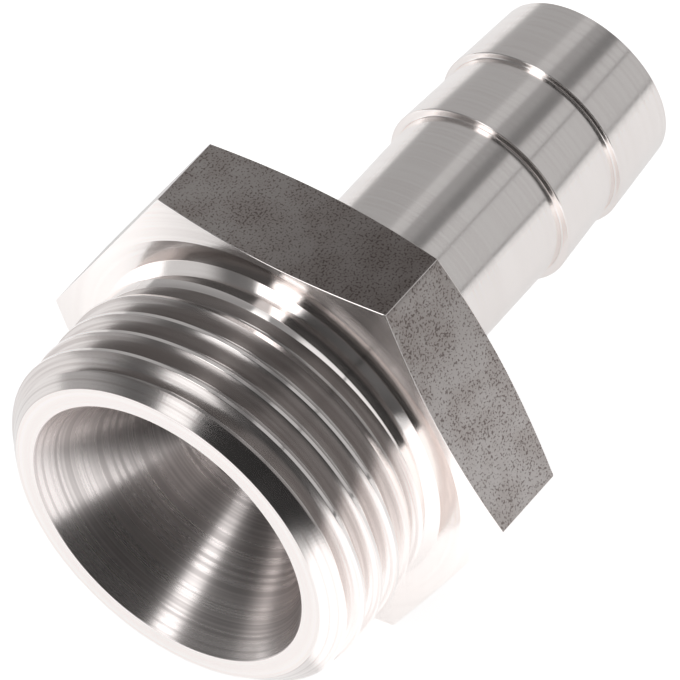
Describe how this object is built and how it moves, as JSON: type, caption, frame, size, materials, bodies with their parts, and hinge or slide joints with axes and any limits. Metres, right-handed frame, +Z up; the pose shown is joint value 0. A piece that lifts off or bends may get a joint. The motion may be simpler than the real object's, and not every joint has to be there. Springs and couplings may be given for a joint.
{
  "type": "hose barb tail",
  "caption": "Turned steel hose tail with a male parallel pipe thread, a conical mouth, a spanner hexagon and a ribbed shank for a hose.",
  "frame": {"origin": "on the axis, in the plane of the hexagon's flat face that meets the port", "axes": "+X along the axis from the threaded mouth to the hose end, +Z up, square to the spanner flat that lies on top"},
  "size_m": [0.0464, 0.0346, 0.03],
  "materials": {
    "turned_steel": "bright turned stainless steel, with dull pitted spanner flats"
  },
  "bodies": {
    "root": {"hose_tail": "turned_steel"}
  },
  "joints": []
}
